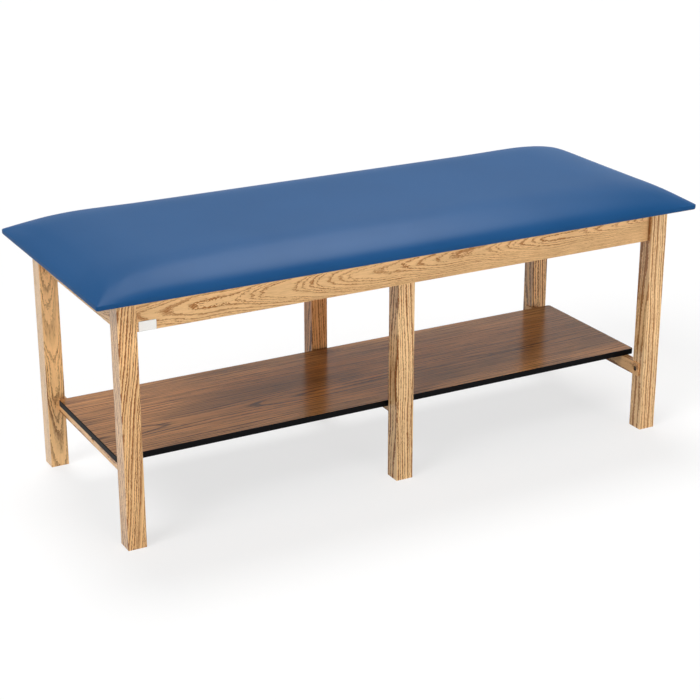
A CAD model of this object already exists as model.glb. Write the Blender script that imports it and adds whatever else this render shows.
import math

import bpy
from mathutils import Euler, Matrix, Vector


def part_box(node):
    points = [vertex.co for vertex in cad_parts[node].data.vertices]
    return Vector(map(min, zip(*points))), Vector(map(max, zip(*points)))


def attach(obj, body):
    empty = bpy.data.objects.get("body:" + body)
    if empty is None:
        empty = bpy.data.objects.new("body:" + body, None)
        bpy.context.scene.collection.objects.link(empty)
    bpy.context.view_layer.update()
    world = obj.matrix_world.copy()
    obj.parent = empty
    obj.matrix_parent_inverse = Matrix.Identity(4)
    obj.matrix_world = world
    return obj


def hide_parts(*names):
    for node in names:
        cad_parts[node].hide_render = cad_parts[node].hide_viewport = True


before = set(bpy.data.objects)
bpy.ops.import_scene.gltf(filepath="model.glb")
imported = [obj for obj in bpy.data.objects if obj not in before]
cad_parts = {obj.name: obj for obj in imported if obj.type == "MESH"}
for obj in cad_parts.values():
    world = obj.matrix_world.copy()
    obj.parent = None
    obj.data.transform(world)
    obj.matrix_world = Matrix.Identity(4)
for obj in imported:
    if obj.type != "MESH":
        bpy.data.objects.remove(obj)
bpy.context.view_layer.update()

# Corner legs
# Four square posts of clear-lacquered oak with eased edges, sawn from straight-grained stock. Each is
# housed for a stretcher and bored for the apron dowels and its hanger bolt.


def paint(red, green, blue):
    """A colour as a picture editor gives it, 0 to 255, turned by the sRGB curve into what a shader takes."""
    linear = []
    for part in (red, green, blue):
        share = part / 255
        linear.append(share / 12.92 if share <= 0.04045 else ((share + 0.055) / 1.055) ** 2.4)
    return (*linear, 1.0)


def feed(tree, socket, value):
    """Gives a socket a plain value, or links it to another node's output."""
    if isinstance(value, bpy.types.NodeSocket):
        tree.links.new(value, socket)
    else:
        socket.default_value = value


def shader(tree, kind, settings=None, **inputs):
    """A shader node with its settings and its inputs, named with _ for a space."""
    node = tree.nodes.new("ShaderNode" + kind)
    for name, value in (settings or {}).items():
        setattr(node, name, value)
    for name, value in inputs.items():
        feed(tree, node.inputs[name.replace("_", " ")], value)
    return node


def calculate(tree, operation, *values):
    """What one Math node makes of its values."""
    node = shader(tree, "Math", {"operation": operation})
    for socket, value in zip(node.inputs, values):
        feed(tree, socket, value)
    return node.outputs[0]


def calculate_vector(tree, operation, first, second):
    """What one Vector Math node makes of two vectors, or of a vector and a scale."""
    node = shader(tree, "VectorMath", {"operation": operation})
    feed(tree, node.inputs[0], first)
    feed(tree, node.inputs["Scale" if operation == "SCALE" else 1], second)
    return node.outputs[0]


def noise(tree, place, fineness, detail=2.0, output="Fac"):
    """Noise with its own fineness along each axis, in blotches to the metre."""
    spread = calculate_vector(tree, "MULTIPLY", place, fineness)
    return shader(tree, "TexNoise", Vector=spread, Scale=1.0, Detail=detail).outputs[output]


def rise(tree, value, low, high, bottom=0.0, top=1.0):
    """Climbs smoothly from bottom to top while the value goes from low to high."""
    node = shader(tree, "MapRange", {"interpolation_type": "SMOOTHSTEP"}, Value=value, From_Min=low,
                  From_Max=high, To_Min=bottom, To_Max=top)
    return node.outputs[0]


# nearly all of a noise lies between these two values
NOISE_LOW = 0.3
NOISE_HIGH = 0.7


def swing(tree, value, bottom=0.0, top=1.0):
    """A noise spread out to the full way from bottom to top."""
    return rise(tree, value, NOISE_LOW, NOISE_HIGH, bottom, top)


# a Mix node has sockets for every kind of data: these are its share, its two colours and what it makes
MIX_INPUTS = (0, 6, 7)
MIX_OUTPUT = 2


def mixed(tree, share, first, second, how="MIX"):
    """Two colours mixed by a share."""
    node = shader(tree, "Mix", {"data_type": "RGBA", "blend_type": how})
    for index, value in zip(MIX_INPUTS, (share, first, second)):
        feed(tree, node.inputs[index], value)
    return node.outputs[MIX_OUTPUT]


def new_group(name, inputs, outputs):
    """An empty shader group with named sockets, and its two end nodes."""
    tree = bpy.data.node_groups.new(name, "ShaderNodeTree")
    for socket, kind in inputs:
        tree.interface.new_socket(socket, in_out="INPUT", socket_type="NodeSocket" + kind)
    for socket, kind in outputs:
        tree.interface.new_socket(socket, in_out="OUTPUT", socket_type="NodeSocket" + kind)
    return tree, tree.nodes.new("NodeGroupInput").outputs, tree.nodes.new("NodeGroupOutput").inputs


# how fine the marks in wood are, in blotches to the metre: twice across the grain, then along it
HEART_SWAY = (2.4, 2.4, 3.1)
SLOW_WAVER = (62.0, 62.0, 8.0)
QUICK_WAVER = (300.0, 300.0, 130.0)
BOLDNESS = (24.0, 24.0, 3.5)
FIBRES = (330.0, 330.0, 14.0)
PORES = (900.0, 900.0, 52.0)
CLOUDS = (9.0, 9.0, 6.0)
NOISE_MIDDLE = (0.5, 0.5, 0.5)
ACROSS_THE_GRAIN = (1.0, 1.0, 0.0)
# the quick waver beside the slow one, and how far and how often the years differ, in rings
QUICK_WAVER_SHARE = 0.6
UNEVEN_SHARE = 1.6
UNEVEN_PACE = 0.43
# where in the spring wood its fading starts, and where in a ring the next spring begins
FADING_START = 0.25
NEXT_SPRING = 0.92
# which part of a noise turns into marks, and how strongly the marks show
BOLD_BY_PLACE = (0.65, 1.0)
BOLD_BY_YEAR = (0.6, 1.1)
PORE_RANGE = (0.54, 0.64)
PORES_BY_SEASON = (0.2, 1.0)
FULL_SPRING = 0.8
FIBRE_RANGE = (0.32, 0.72)
FIBRE_TONES = (-0.25, 0.75)
PORE_DARKNESS = 0.55
PORE_GLOSS_LOSS = 0.14
FIBRE_GLOSS_LOSS = 0.08
SPRING_DEPTH = 0.35


def wood_figure():
    """Growth rings about the heart of a tree that runs along Z, with pores drawn out along the grain."""
    tree, given, made = new_group(
        "wood_figure",
        [("Place", "Vector"), ("Ring Width", "Float"), ("Wander", "Float"), ("Pale", "Color"),
         ("Dark", "Color"), ("Spring Share", "Float"), ("Contrast", "Float"), ("Streaks", "Float"),
         ("Waver", "Float"), ("Clouding", "Float"), ("Gloss Loss", "Float")],
        [("Color", "Color"), ("Roughness", "Float"), ("Height", "Float")])
    place = given["Place"]
    # the heart wanders along the tree, which turns straight lines into flames
    sway = noise(tree, place, HEART_SWAY, detail=1.0, output="Color")
    sway = calculate_vector(tree, "SUBTRACT", sway, NOISE_MIDDLE)
    bent = calculate_vector(tree, "ADD", place, calculate_vector(tree, "SCALE", sway, given["Wander"]))
    across = shader(tree, "VectorMath", {"operation": "LENGTH"})
    feed(tree, across.inputs[0], calculate_vector(tree, "MULTIPLY", bent, ACROSS_THE_GRAIN))
    # each line wavers by a share of a ring, in a slow and in a quick rhythm
    rings = calculate(tree, "DIVIDE", across.outputs["Value"], given["Ring Width"])
    quick = calculate(tree, "MULTIPLY", noise(tree, place, QUICK_WAVER), QUICK_WAVER_SHARE)
    waver = calculate(tree, "ADD", noise(tree, place, SLOW_WAVER), quick)
    rings = calculate(tree, "ADD", rings, calculate(tree, "MULTIPLY", waver, given["Waver"]))
    # some years are wide and some are narrow
    uneven = shader(tree, "TexNoise", {"noise_dimensions": "1D"}, W=rings, Scale=UNEVEN_PACE, Detail=1.0)
    rings = calculate(tree, "ADD", rings, calculate(tree, "MULTIPLY", uneven.outputs["Fac"], UNEVEN_SHARE))
    part = calculate(tree, "FRACT", rings)
    year = shader(tree, "TexWhiteNoise", {"noise_dimensions": "1D"}, W=calculate(tree, "FLOOR", rings))
    # spring wood starts sharply, open and dark, and fades into the dense summer wood of the same ring
    fading = calculate(tree, "MULTIPLY", given["Spring Share"], FADING_START)
    spring = calculate(tree, "SUBTRACT", 1.0, rise(tree, part, fading, given["Spring Share"]))
    spring = calculate(tree, "MAXIMUM", spring, rise(tree, part, NEXT_SPRING, 1.0))
    bold = swing(tree, noise(tree, place, BOLDNESS), *BOLD_BY_PLACE)
    bold = calculate(tree, "MULTIPLY", bold, rise(tree, year.outputs["Value"], 0.0, 1.0, *BOLD_BY_YEAR))
    # fibres run all over, and pores mostly through the spring wood
    streak = noise(tree, place, FIBRES, detail=3.0)
    pores = rise(tree, noise(tree, place, PORES, detail=1.0), *PORE_RANGE)
    pores = calculate(tree, "MULTIPLY", pores, rise(tree, spring, 0.0, FULL_SPRING, *PORES_BY_SEASON))
    dark = calculate(tree, "MULTIPLY", spring, bold)
    fibre = rise(tree, streak, *FIBRE_RANGE, *FIBRE_TONES)
    dark = calculate(tree, "ADD", dark, calculate(tree, "MULTIPLY", fibre, given["Streaks"]))
    dark = calculate(tree, "ADD", dark, calculate(tree, "MULTIPLY", pores, PORE_DARKNESS))
    limited = shader(tree, "Clamp", Value=calculate(tree, "MULTIPLY", dark, given["Contrast"]))
    sawn = mixed(tree, limited.outputs[0], given["Pale"], given["Dark"])
    cloudiest = calculate(tree, "SUBTRACT", 1.0, given["Clouding"])
    cloud = swing(tree, noise(tree, place, CLOUDS), cloudiest, 1.0)
    feed(tree, made["Color"], mixed(tree, 1.0, sawn, cloud, "MULTIPLY"))
    loss = calculate(tree, "ADD", given["Gloss Loss"], calculate(tree, "MULTIPLY", pores, PORE_GLOSS_LOSS))
    loss = calculate(tree, "ADD", loss, calculate(tree, "MULTIPLY", streak, FIBRE_GLOSS_LOSS))
    feed(tree, made["Roughness"], loss)
    depth = calculate(tree, "ADD", pores, calculate(tree, "MULTIPLY", spring, SPRING_DEPTH))
    feed(tree, made["Height"], calculate(tree, "SUBTRACT", 1.0, depth))
    return tree


figure = wood_figure()
GRAIN_TURNS = {"X": Euler((0, -math.pi / 2, 0)), "Y": Euler((math.pi / 2, 0, 0)), "Z": Euler((0, 0, 0))}
LACQUER_IOR = 1.3
LACQUER_HAZE = 0.22


def middle_of(node):
    """The middle of a node's box."""
    low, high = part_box(node)
    return (Vector(low) + Vector(high)) / 2


def new_material(name):
    """A new material, its node tree and its surface shader."""
    material = bpy.data.materials.new(name)
    material.use_nodes = True
    surface = material.node_tree.nodes["Principled BSDF"]
    return material, material.node_tree, surface


def from_middle(tree, middle, turn=Euler((0, 0, 0)), offset=Vector((0, 0, 0))):
    """Object coordinates moved to a piece's middle, turned, and set off by a distance."""
    place = shader(tree, "TexCoord").outputs["Object"]
    moved = shader(tree, "Mapping", Vector=place)
    moved.inputs["Rotation"].default_value = turn
    moved.inputs["Location"].default_value = offset - turn.to_matrix() @ middle
    return moved.outputs[0]


def roughen(tree, surface, height, distance, strength=1.0):
    """Turns a height into the surface's bump."""
    bump = shader(tree, "Bump", Height=height, Distance=distance, Strength=strength)
    feed(tree, surface.inputs["Normal"], bump.outputs[0])


def wood(name, node, grain, heart, pale, dark, lean=(0, 0), ring=0.007, wander=0.02, spring=0.52,
         contrast=1.0, streaks=0.25, waver=1.1, clouding=0.12, drawn_out=1.0, gloss_loss=0.3, sheen=0.1,
         lacquer=0.5, relief=0.00015):
    """Wood for one board: which way its grain runs, where its middle lies from the tree's heart, how far it
    was sawn aslant of the grain, and how far its figure is drawn out along the grain."""
    material, tree, surface = new_material(name)
    aslant = Euler((*lean, 0)).to_matrix() @ GRAIN_TURNS[grain].to_matrix()
    place = from_middle(tree, middle_of(node), aslant.to_euler(), Vector(heart))
    if drawn_out != 1.0:
        place = calculate_vector(tree, "MULTIPLY", place, (1.0, 1.0, 1.0 / drawn_out))
    sawn = shader(tree, "Group", {"node_tree": figure}, Place=place, Ring_Width=ring, Wander=wander,
                  Pale=pale, Dark=dark, Spring_Share=spring, Contrast=contrast, Streaks=streaks,
                  Waver=waver, Clouding=clouding, Gloss_Loss=gloss_loss)
    feed(tree, surface.inputs["Base Color"], sawn.outputs["Color"])
    feed(tree, surface.inputs["Roughness"], sawn.outputs["Roughness"])
    surface.inputs["Specular IOR Level"].default_value = sheen
    surface.inputs["Coat Weight"].default_value = lacquer
    surface.inputs["Coat IOR"].default_value = LACQUER_IOR
    surface.inputs["Coat Roughness"].default_value = LACQUER_HAZE
    roughen(tree, surface, sawn.outputs["Height"], relief)
    return material


def dress(node, material):
    """Gives a node of the frame its finish."""
    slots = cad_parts[node].data.materials
    slots.clear()
    slots.append(material)


OAK_PALE = paint(255, 207, 146)
OAK_DARK = paint(148, 88, 38)
OAK_STRAW = paint(255, 215, 160)
OAK_TAN = paint(176, 120, 68)
OAK_AMBER = paint(244, 194, 136)
OAK_BROWN = paint(120, 74, 38)
# each leg's place in its tree, lean of the grain, pale and dark wood, ring width and contrast
CORNER_LEGS = {
    "front_left_leg": ((0.13, 0.12, 0.3), (0, -0.1), OAK_PALE, OAK_DARK, 0.006, 1.4),
    "front_right_leg": ((0.14, 0.06, 2.1), (0, 0.02), OAK_STRAW, OAK_TAN, 0.0082, 1.5),
    "rear_left_leg": ((0.004, -0.05, 4.6), (-0.03, 0.01), OAK_PALE, OAK_BROWN, 0.0024, 0.72),
    "rear_right_leg": ((0.1, -0.03, 6.2), (0, 0.03), OAK_AMBER, OAK_BROWN, 0.008, 1.1),
}
for leg, (heart, lean, pale, dark, ring, contrast) in CORNER_LEGS.items():
    dress(leg, wood(f"oak_{leg}", leg, "Z", heart, pale, dark, lean=lean, ring=ring, contrast=contrast,
                    lacquer=1.0))

# Middle legs
# Two more oak posts of the same section, which stand inside the long aprons and are screwed to them
# from behind.
OAK_RUSSET = paint(222, 160, 102)
# each leg's place in its tree, lean of the grain, pale and dark wood, and ring width
MIDDLE_LEGS = {
    "front_middle_leg": ((0.12, 0.05, 8.3), (0, 0.02), OAK_STRAW, OAK_DARK, 0.0082),
    "rear_middle_leg": ((0.1, 0.03, 10.7), (0, 0.03), OAK_RUSSET, OAK_BROWN, 0.0085),
}
for leg, (heart, lean, pale, dark, ring) in MIDDLE_LEGS.items():
    dress(leg, wood(f"oak_{leg}", leg, "Z", heart, pale, dark, lean=lean, ring=ring, spring=0.44,
                    contrast=1.15))

# Aprons and cross rail
# Flat-sawn oak boards on edge, set back from the faces of the legs and dowelled into them. The cross
# rail ties the two middle legs together under the top and is of plainer stock.
APRON_PALE = paint(244, 199, 142)
APRON_DARK = paint(168, 106, 52)
# each apron's run of the grain, place in its tree and lean of the grain
APRONS = {
    "front_apron": ("X", (0.004, -0.05, 71.6), (-0.05, 0.02)),
    "rear_apron": ("X", (-0.01, 0.12, 15.2), (-0.06, 0)),
    "left_end_apron": ("Y", (-0.11, 0.01, 17.4), (0, 0.07)),
    "right_end_apron": ("Y", (0.1, -0.012, 18.8), (0, 0.06)),
}
for apron, (grain, heart, lean) in APRONS.items():
    dress(apron, wood(f"oak_{apron}", apron, grain, heart, APRON_PALE, APRON_DARK, lean=lean, ring=0.0025,
                      wander=0.03, spring=0.38, waver=1.5, lacquer=0.4))
INNER_PALE = paint(222, 186, 138)
INNER_DARK = paint(160, 118, 76)
CROSS_RAIL_HEART = (0.09, 0.02, 21.0)
dress("middle_cross_rail",
      wood("inner_cross_rail", "middle_cross_rail", "Y", CROSS_RAIL_HEART, INNER_PALE, INNER_DARK,
           gloss_loss=0.5, lacquer=0.0))

# Dowels
# Turned birch pegs, glued into the legs and into the ends of the aprons and of the cross rail. They are
# hidden in the finished joints.
DOWEL_PALE = paint(226, 200, 160)
DOWEL_DARK = paint(188, 156, 112)
DOWEL_HEART = (0.05, 0.02, 23.0)
for dowels, grain in (("apron_dowels", "X"), ("cross_rail_dowels", "Y")):
    dress(dowels, wood(f"birch_{dowels}", dowels, grain, DOWEL_HEART, DOWEL_PALE, DOWEL_DARK, ring=0.002,
                       contrast=0.6, gloss_loss=0.55, lacquer=0.0))

# Corner blocks and cleats
# Sawn blocks across the four corners of the frame and square cleats along the long aprons, unfinished
# softer wood that only shows from below. They are screwed to the aprons and hold the top down.
CORNERS = ("front_left", "front_right", "rear_left", "rear_right")
for number, corner in enumerate(CORNERS):
    # each is cut from a place of its own along the tree
    block = f"{corner}_corner_block"
    block_heart = (0.05, 0.03, 25.0 + number)
    dress(block, wood(f"inner_{block}", block, "X", block_heart, INNER_PALE, INNER_DARK, gloss_loss=0.55,
                      lacquer=0.0))
    cleat = f"{corner}_top_cleat"
    cleat_heart = (0.06, 0.045, 30.0 + 2 * number)
    dress(cleat, wood(f"inner_{cleat}", cleat, "X", cleat_heart, INNER_PALE, INNER_DARK, gloss_loss=0.55,
                      lacquer=0.0))

# Bolts, nuts, washers, screws and staples
# Plated steel: hanger bolts with washers and nuts through the corner blocks, wood screws in the blocks,
# cleats, legs and shelf, and wire staples under the top. The stretchers' bolts and pocket screws are
# blackened.

# how fine the bloom and the scuffs are, in marks to the metre, and what the scuffs do to the gloss
BLOOM = (420.0, 420.0, 420.0)
SCUFFS = (2600.0, 900.0, 2600.0)
SCUFF_RANGE = (0.25, 0.75)
SCUFF_GLOSS_GAIN = 0.08
SCUFF_GLOSS_LOSS = 0.12
SCUFF_DEPTH = 0.00005


def plating(name, tint, bloom_tint, dull):
    """Plated steel: a metal with a cloudy bloom and fine scuffs."""
    material, tree, surface = new_material(name)
    place = shader(tree, "TexCoord").outputs["Object"]
    bloom = noise(tree, place, BLOOM, detail=3.0)
    scuff = noise(tree, place, SCUFFS)
    feed(tree, surface.inputs["Base Color"], mixed(tree, swing(tree, bloom), tint, bloom_tint))
    feed(tree, surface.inputs["Roughness"],
         rise(tree, scuff, *SCUFF_RANGE, dull - SCUFF_GLOSS_GAIN, dull + SCUFF_GLOSS_LOSS))
    surface.inputs["Metallic"].default_value = 1.0
    roughen(tree, surface, scuff, SCUFF_DEPTH, strength=0.5)
    return material


ZINC_GREY = paint(186, 188, 186)
ZINC_YELLOW = paint(196, 186, 150)
ZINC_WIRE = paint(176, 178, 180)
ZINC_BLOOM = paint(214, 214, 206)
STEEL_BLACK = paint(44, 42, 42)
STEEL_BLOOM = paint(66, 63, 60)
hanger_zinc = plating("zinc_steel_hangers", ZINC_GREY, ZINC_BLOOM, dull=0.34)
screw_zinc = plating("zinc_steel_screws", ZINC_YELLOW, ZINC_BLOOM, dull=0.3)
staple_wire = plating("zinc_steel_staples", ZINC_WIRE, ZINC_BLOOM, dull=0.26)
black_steel = plating("blackened_steel_bolts", STEEL_BLACK, STEEL_BLOOM, dull=0.46)
for hardware in ("hanger_bolts", "hanger_washers", "hanger_nuts"):
    dress(hardware, hanger_zinc)
for hardware in ("stretcher_bolts", "stretcher_washers", "shelf_pocket_screws"):
    dress(hardware, black_steel)
for hardware in ("corner_block_screws", "cleat_screws", "middle_leg_screws", "shelf_screws", "top_screws"):
    dress(hardware, screw_zinc)
dress("cover_staples", staple_wire)

# Stretchers
# Three oak rails across the table, let into the legs below the shelf and drawn tight with bolts in
# counterbored holes. The shelf rests on them.

# how far along its tree each rail was cut
STRETCHERS = {"left_stretcher": 40.0, "middle_stretcher": 42.0, "right_stretcher": 44.0}
for rail, along in STRETCHERS.items():
    dress(rail, wood(f"oak_{rail}", rail, "Y", (0.1, 0.012, along), OAK_AMBER, OAK_DARK, ring=0.006))

# Shelf
# A particle board panel faced with a glossy brown wood-grain laminate, backed with a dark sheet and
# edged with a black plastic moulding whose tongue is pressed into a groove.
SHELF_PALE = paint(228, 162, 98)
SHELF_DARK = paint(66, 38, 26)
SHELF_HEART = (0.03, 0.07, 50.35)
dress("shelf_top_laminate",
      wood("wood_laminate", "shelf_top_laminate", "X", SHELF_HEART, SHELF_PALE, SHELF_DARK, lean=(0.02, 0),
           ring=0.009, wander=0.08, spring=0.28, contrast=0.75, streaks=1.1, waver=0.6, clouding=0.45,
           drawn_out=2.6, gloss_loss=0.14, sheen=0.12, lacquer=0.0, relief=0.00002))

# which part of the noise turns into flecks, and how far they change the gloss
CHIP_RANGE = (0.35, 0.68)
CHIP_GLOSS = 0.06


def flecked(name, base, fleck, fineness, dull, depth, sheen=0.5):
    """A pressed or moulded sheet: a base colour with flecks and a slight tooth."""
    material, tree, surface = new_material(name)
    place = shader(tree, "TexCoord").outputs["Object"]
    chips = noise(tree, place, (fineness, fineness, fineness), detail=4.0)
    feed(tree, surface.inputs["Base Color"], mixed(tree, rise(tree, chips, *CHIP_RANGE), base, fleck))
    feed(tree, surface.inputs["Roughness"], swing(tree, chips, dull - CHIP_GLOSS, dull + CHIP_GLOSS))
    surface.inputs["Specular IOR Level"].default_value = sheen
    roughen(tree, surface, chips, depth, strength=0.5)
    return material


CHIP_PALE = paint(196, 160, 112)
CHIP_BROWN = paint(142, 104, 66)
SHEET_BROWN = paint(70, 54, 44)
SHEET_DARK = paint(52, 40, 33)
MOULDING_BLACK = paint(8, 8, 9)
MOULDING_FLECK = paint(14, 13, 15)
dress("shelf_core",
      flecked("particle_board", CHIP_PALE, CHIP_BROWN, fineness=340.0, dull=0.8, depth=0.0003))
dress("shelf_backing_sheet",
      flecked("backing_sheet", SHEET_BROWN, SHEET_DARK, fineness=90.0, dull=0.6, depth=0.0001))
dress("shelf_edge_moulding",
      flecked("black_moulding", MOULDING_BLACK, MOULDING_FLECK, fineness=260.0, dull=0.45, depth=0.00008,
              sheen=0.05))

# Top board
# A plywood panel with rotary-cut faces, screwed down to the cleats and blocks. Only its underside shows,
# inside the turned edge of the cover.
PLY_PALE = paint(218, 182, 134)
PLY_DARK = paint(176, 132, 84)
PLY_HEART = (0.35, 0.04, 60.0)
dress("top_board", wood("plywood", "top_board", "X", PLY_HEART, PLY_PALE, PLY_DARK, ring=0.009, wander=0.3,
                        contrast=0.7, gloss_loss=0.6, lacquer=0.0))

# Upholstered pad
# A foam slab crowned by the pull of a blue vinyl cover, which is drawn round the board's edge, turned
# under it and stapled. The crown swells over the first hand's breadths from each edge, and the cover is
# folded tighter at the front left corner than at the others.
COVER_LOW, COVER_HIGH = (Vector(corner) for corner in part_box("vinyl_cover"))
BOARD_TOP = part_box("top_board")[1][2]
PAD_HALF_LENGTH = COVER_HIGH.x
PAD_HALF_WIDTH = COVER_HIGH.y
PAD_RISE = COVER_HIGH.z - BOARD_TOP
CORNER_RADIUS = 0.016
FRONT_LEFT_RADIUS = 0.005
CROWN_REACH_ENDS = 0.238
CROWN_REACH_SIDES = 0.18
CROWN_FULLNESS = 1.95
SLACK_SHARE = 0.95
TURN_UNDER = 0.038
EDGE_ROUND = 0.004
COVER_THICKNESS = 0.0013
PAD_ROWS_ALONG = 136
PAD_ROWS_ACROSS = 64
EDGE_CROWDING = 1.8


def crown_share(distance, reach):
    """How much of the full rise the pad has at a distance in from its edge."""
    left = 1 - min(distance / reach, 1)
    return (1 - left ** CROWN_FULLNESS) ** (1 / CROWN_FULLNESS)


def crowded(share):
    """Rows of the grid, from -1 to 1, drawn towards the edges, where the crown is steep."""
    return math.copysign(1 - (1 - min(abs(share), 1)) ** EDGE_CROWDING, share)


bpy.ops.object.select_all(action="DESELECT")
bpy.ops.mesh.primitive_grid_add(x_subdivisions=PAD_ROWS_ALONG, y_subdivisions=PAD_ROWS_ACROSS, size=2)
pad = bpy.context.object
pad.name = "upholstered_pad"
for vertex in pad.data.vertices:
    x = PAD_HALF_LENGTH * crowded(vertex.co.x)
    y = PAD_HALF_WIDTH * crowded(vertex.co.y)
    crown = (crown_share(PAD_HALF_LENGTH - abs(x), CROWN_REACH_ENDS)
             * crown_share(PAD_HALF_WIDTH - abs(y), CROWN_REACH_SIDES))
    # the grid's square corners are drawn in to round ones
    radius = FRONT_LEFT_RADIUS if x < 0 and y < 0 else CORNER_RADIUS
    along = max(0, (abs(x) - PAD_HALF_LENGTH + radius) / radius)
    over = max(0, (abs(y) - PAD_HALF_WIDTH + radius) / radius)
    if along and over:
        x -= math.copysign(along * (1 - math.sqrt(1 - over ** 2 / 2)) * radius, x)
        y -= math.copysign(over * (1 - math.sqrt(1 - along ** 2 / 2)) * radius, y)
    vertex.co = (x, y, BOARD_TOP + PAD_RISE * SLACK_SHARE * crown)

# the open edge is drawn down over the board's edge, rounded under it and turned in along its underside, in
# steps that each go so far down and so far inwards
bpy.ops.object.mode_set(mode="EDIT")
bpy.context.tool_settings.mesh_select_mode = (False, True, False)
bpy.ops.mesh.select_all(action="DESELECT")
bpy.ops.mesh.select_non_manifold()
wall = BOARD_TOP - COVER_LOW.z - EDGE_ROUND
WRAP = (
    (0.5 * wall, 0.0),
    (0.5 * wall, 0.0),
    (0.7 * EDGE_ROUND, 0.3 * EDGE_ROUND),
    (0.3 * EDGE_ROUND, 0.7 * EDGE_ROUND),
    (0.0, 0.5 * TURN_UNDER),
    (0.0, 0.5 * TURN_UNDER),
)
drawn_in = 0.0
for drop, inwards in WRAP:
    bpy.ops.mesh.extrude_edges_move(TRANSFORM_OT_translate={"value": (0, 0, -drop)})
    shares = [(half - drawn_in - inwards) / (half - drawn_in) for half in (PAD_HALF_LENGTH, PAD_HALF_WIDTH)]
    bpy.ops.transform.resize(value=(*shares, 1), center_override=(0, 0, COVER_LOW.z))
    drawn_in += inwards
bpy.ops.object.mode_set(mode="OBJECT")


def finish_with(piece, kind, **settings):
    """Adds a modifier to a piece and applies it."""
    modifier = piece.modifiers.new(kind.lower(), kind)
    for name, value in settings.items():
        setattr(modifier, name, value)
    bpy.context.view_layer.objects.active = piece
    bpy.ops.object.modifier_apply(modifier=modifier.name)


SWELL_PRESSURE = 4.0
SWELL_FRAMES = 20
SWELL_CAP = PAD_RISE * (1 - SLACK_SHARE)
# the cover is held up to this height and free above it
HELD_MARGIN = 0.0005
FREE_HEIGHT = BOARD_TOP + HELD_MARGIN


def swell(piece):
    """Blows the slack cover up over the foam, held at the board's edge, as far as the foam reaches."""
    scene = bpy.context.scene
    held = [vertex.index for vertex in piece.data.vertices if vertex.co.z < FREE_HEIGHT]
    piece.vertex_groups.new(name="held").add(held, 1.0, "REPLACE")
    slack = [vertex.co.copy() for vertex in piece.data.vertices]
    cloth = piece.modifiers.new("swell", "CLOTH")
    cloth.settings.vertex_group_mass = "held"
    cloth.settings.use_pressure = True
    cloth.settings.uniform_pressure_force = SWELL_PRESSURE
    cloth.settings.effector_weights.gravity = 0.0
    cloth.point_cache.frame_start = 1
    cloth.point_cache.frame_end = SWELL_FRAMES
    for number in range(1, SWELL_FRAMES + 1):
        scene.frame_set(number)
    bpy.context.view_layer.objects.active = piece
    bpy.ops.object.modifier_apply(modifier=cloth.name)
    scene.frame_set(1)
    for vertex, home in zip(piece.data.vertices, slack):
        move = vertex.co - home
        if move.length > SWELL_CAP:
            vertex.co = home + move * (SWELL_CAP / move.length)
    piece.vertex_groups.clear()


swell(pad)

# the free part of the cover is smoothed, and its crest brought to the height of the finished pad
SMOOTHING_SHARE = 0.5
SMOOTHING_ROUNDS = 12
loose = [vertex.index for vertex in pad.data.vertices if vertex.co.z > FREE_HEIGHT]
pad.vertex_groups.new(name="loose").add(loose, 1.0, "REPLACE")
finish_with(pad, "SMOOTH", vertex_group="loose", factor=SMOOTHING_SHARE, iterations=SMOOTHING_ROUNDS)
pad.vertex_groups.clear()
crest = max(vertex.co.z for vertex in pad.data.vertices)
for vertex in pad.data.vertices:
    if vertex.co.z > BOARD_TOP:
        vertex.co.z = BOARD_TOP + (vertex.co.z - BOARD_TOP) * PAD_RISE / (crest - BOARD_TOP)
finish_with(pad, "SUBSURF", levels=1, render_levels=1)
finish_with(pad, "SOLIDIFY", thickness=COVER_THICKNESS, offset=-1)
bpy.ops.object.shade_smooth()

VINYL_BLUE = paint(27, 74, 121)
VINYL_PALER_BLUE = paint(31, 78, 126)
VINYL_SHEEN_TINT = (0.12, 0.45, 1.0, 1.0)
# how fine the pebbles, the tooth and the clouds in the dye are, in marks to the metre
PEBBLES = 620.0
TOOTH = (1800.0, 1800.0, 1800.0)
DYE_CLOUDS = (3.0, 3.0, 3.0)
PEBBLE_SOFTNESS = 0.6
TOOTH_SHARE = 0.25
PEBBLE_RANGE = (0.1, 0.9)
PEBBLE_GLOSS = (0.38, 0.46)
PEBBLE_DEPTH = 0.00022


def vinyl():
    """Upholstery vinyl: an embossed pebble grain with a fine tooth, a satin gloss and a soft blue sheen."""
    material, tree, surface = new_material("blue_vinyl")
    place = shader(tree, "TexCoord").outputs["Object"]
    pebble = shader(tree, "TexVoronoi", {"feature": "SMOOTH_F1"}, Vector=place, Scale=PEBBLES,
                    Smoothness=PEBBLE_SOFTNESS)
    tooth = noise(tree, place, TOOTH)
    cloud = swing(tree, noise(tree, place, DYE_CLOUDS))
    feed(tree, surface.inputs["Base Color"], mixed(tree, cloud, VINYL_BLUE, VINYL_PALER_BLUE))
    tooth = calculate(tree, "MULTIPLY", tooth, TOOTH_SHARE)
    grain = calculate(tree, "ADD", pebble.outputs["Distance"], tooth)
    feed(tree, surface.inputs["Roughness"], rise(tree, grain, *PEBBLE_RANGE, *PEBBLE_GLOSS))
    surface.inputs["Specular IOR Level"].default_value = 0.05
    surface.inputs["Sheen Weight"].default_value = 0.12
    surface.inputs["Sheen Roughness"].default_value = 0.5
    surface.inputs["Sheen Tint"].default_value = VINYL_SHEEN_TINT
    roughen(tree, surface, grain, PEBBLE_DEPTH, strength=0.5)
    return material


pad.data.materials.append(vinyl())
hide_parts("vinyl_cover", "foam_pad")
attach(pad, "root")

# Bare plate
# A small white enamelled plate, stuck flat on the face of the front apron beside the left leg. Its edges
# are worn to the metal.
PLATE_WHITE = paint(254, 252, 247)
PLATE_METAL = paint(168, 168, 166)
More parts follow.
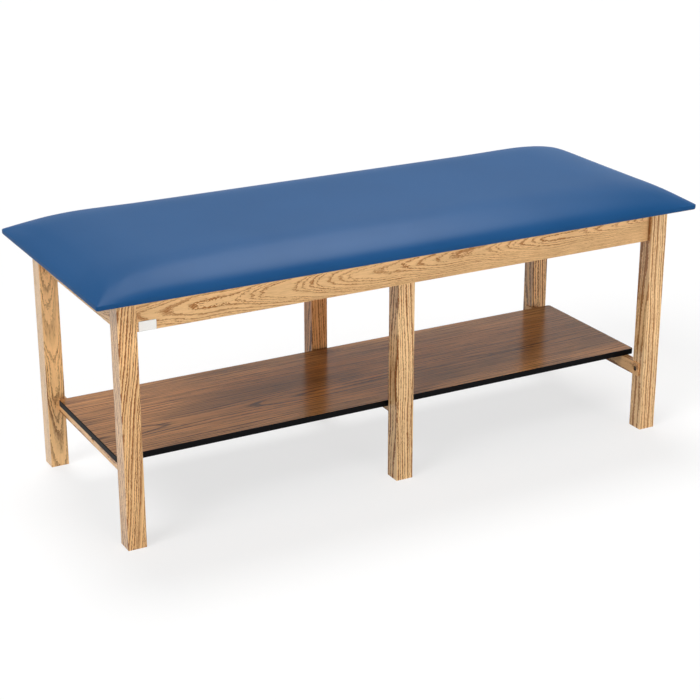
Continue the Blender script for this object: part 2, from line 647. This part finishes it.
# the enamel's speckle, in marks to the metre, and how far in from the edge it is chipped and worn
SPECKLES = (900.0, 900.0, 900.0)
SPECKLE_GLOSS = (0.24, 0.36)
SPECKLE_DEPTH = 0.00004
CHIPPING = 0.0006
WORN_WIDTH = 0.0004
plate_low, plate_high = (Vector(corner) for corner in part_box("name_plate"))
plate_half = (plate_high - plate_low) / 2
plate, tree, surface = new_material("white_plate")
place = from_middle(tree, middle_of("name_plate"))
axes = shader(tree, "SeparateXYZ", Vector=place).outputs
out_along = calculate(tree, "SUBTRACT", plate_half.x, calculate(tree, "ABSOLUTE", axes["X"]))
out_up = calculate(tree, "SUBTRACT", plate_half.z, calculate(tree, "ABSOLUTE", axes["Z"]))
edge = calculate(tree, "MINIMUM", out_along, out_up)
speckle = noise(tree, place, SPECKLES, detail=3.0)
chipped = calculate(tree, "SUBTRACT", edge, calculate(tree, "MULTIPLY", speckle, CHIPPING))
worn = calculate(tree, "SUBTRACT", 1.0, rise(tree, chipped, 0.0, WORN_WIDTH))
feed(tree, surface.inputs["Base Color"], mixed(tree, worn, PLATE_WHITE, PLATE_METAL))
feed(tree, surface.inputs["Roughness"], swing(tree, speckle, *SPECKLE_GLOSS))
roughen(tree, surface, speckle, SPECKLE_DEPTH, strength=0.4)
dress("name_plate", plate)

# Floor and light
# A plain pale floor just under the feet, which can be seen through from below, before a white backdrop. What
# is seen of it glows, which keeps the shadow pale. Soft light comes from above, from the left end and from
# the front, and one lamp adds gloss to the pad.
FLOOR_SIZE = 80.0
FLOOR_GAP = 0.0005
FLOOR_DULLNESS = 0.9
FLOOR_SEEN = paint(254, 254, 254)
FLOOR_BOUNCE = paint(212, 212, 212)
SHADOW_RELIEF = 0.7
WHITE = (1, 1, 1, 1)


def seen_rays(tree):
    """1 for rays that a surface is seen by, also in gloss or through glass, and 0 for bounced light."""
    rays = shader(tree, "LightPath").outputs
    seen = calculate(tree, "MAXIMUM", rays["Is Camera Ray"], rays["Is Glossy Ray"])
    return calculate(tree, "MAXIMUM", seen, rays["Is Transmission Ray"])


def either(tree, share, first, second):
    """Two shaders mixed by a share."""
    node = shader(tree, "MixShader")
    for socket, value in zip(node.inputs, (share, first, second)):
        feed(tree, socket, value)
    return node.outputs[0]


bpy.ops.object.select_all(action="DESELECT")
bpy.ops.mesh.primitive_plane_add(size=FLOOR_SIZE, location=(0, 0, -FLOOR_GAP))
bpy.ops.object.transform_apply()
floor = bpy.context.object
floor.name = "floor"
floor_material, tree, surface = new_material("pale_floor")
surface.inputs["Roughness"].default_value = FLOOR_DULLNESS
surface.inputs["Specular IOR Level"].default_value = 0.0
seen = seen_rays(tree)
feed(tree, surface.inputs["Base Color"], mixed(tree, seen, FLOOR_BOUNCE, FLOOR_SEEN))
glow = shader(tree, "Emission", Color=WHITE, Strength=1.0).outputs[0]
relieved = either(tree, calculate(tree, "MULTIPLY", seen, SHADOW_RELIEF), surface.outputs[0], glow)
behind = shader(tree, "NewGeometry").outputs["Backfacing"]
clear = shader(tree, "BsdfTransparent").outputs[0]
feed(tree, tree.nodes["Material Output"].inputs["Surface"], either(tree, behind, relieved, clear))
floor.data.materials.append(floor_material)


def soft_sun(name, towards, strength, spread):
    """A broad light that comes from a direction."""
    lamp = bpy.data.lights.new(name, "SUN")
    lamp.energy = strength
    lamp.angle = math.radians(spread)
    holder = bpy.data.objects.new(name, lamp)
    holder.rotation_euler = Vector(towards).to_track_quat("Z", "Y").to_euler()
    bpy.context.scene.collection.objects.link(holder)


soft_sun("light_above", towards=(0.05, 0.33, 0.943), strength=1.65, spread=22)
soft_sun("light_left", towards=(-0.67, -0.24, 0.7), strength=1.5, spread=30)
soft_sun("light_front", towards=(0.1, -0.99, 0.03), strength=2.38, spread=40)

# a round lamp above the rear of the table, which shows only as gloss along the middle of the pad
GLOSS_LAMP_PLACE = (0.7, 0.48, 3.0)
GLOSS_LAMP_RADIUS = 1.15
GLOSS_LAMP_POWER = 590.0
gloss_light = bpy.data.lights.new("gloss_behind", "POINT")
gloss_light.energy = GLOSS_LAMP_POWER
gloss_light.shadow_soft_size = GLOSS_LAMP_RADIUS
gloss_lamp = bpy.data.objects.new("gloss_behind", gloss_light)
gloss_lamp.location = GLOSS_LAMP_PLACE
gloss_lamp.visible_camera = False
gloss_lamp.visible_diffuse = False
bpy.context.scene.collection.objects.link(gloss_lamp)

SKY_STRENGTH = 0.16
world = bpy.data.worlds.new("studio")
world.use_nodes = True
bpy.context.scene.world = world
tree = world.node_tree
sky = tree.nodes["Background"]
sky.inputs["Color"].default_value = WHITE
sky.inputs["Strength"].default_value = SKY_STRENGTH
backdrop = shader(tree, "Background", Color=WHITE, Strength=1.0)
surroundings = either(tree, seen_rays(tree), sky.outputs[0], backdrop.outputs[0])
feed(tree, tree.nodes["World Output"].inputs["Surface"], surroundings)
bpy.context.scene.view_settings.view_transform = "Standard"

# Camera
# It stands where the photograph's own camera stood, in front of the left end and above the top. It is tipped
# down, and its lens isn't shifted.
CAMERA_PLACE = (-2.3625, -4.3047, 2.1934)
CAMERA_YAW = 28.53
CAMERA_PITCH = 21.03
CAMERA_LENS = 90.2
SENSOR_WIDTH = 36.0
FARTHEST_SIGHT = 200.0
camera_data = bpy.data.cameras.new("camera")
camera_data.lens = CAMERA_LENS
camera_data.sensor_width = SENSOR_WIDTH
camera_data.clip_end = FARTHEST_SIGHT
camera = bpy.data.objects.new("camera", camera_data)
camera.location = CAMERA_PLACE
camera.rotation_euler = (math.radians(90 - CAMERA_PITCH), 0, -math.radians(CAMERA_YAW))
bpy.context.scene.collection.objects.link(camera)
bpy.context.scene.camera = camera
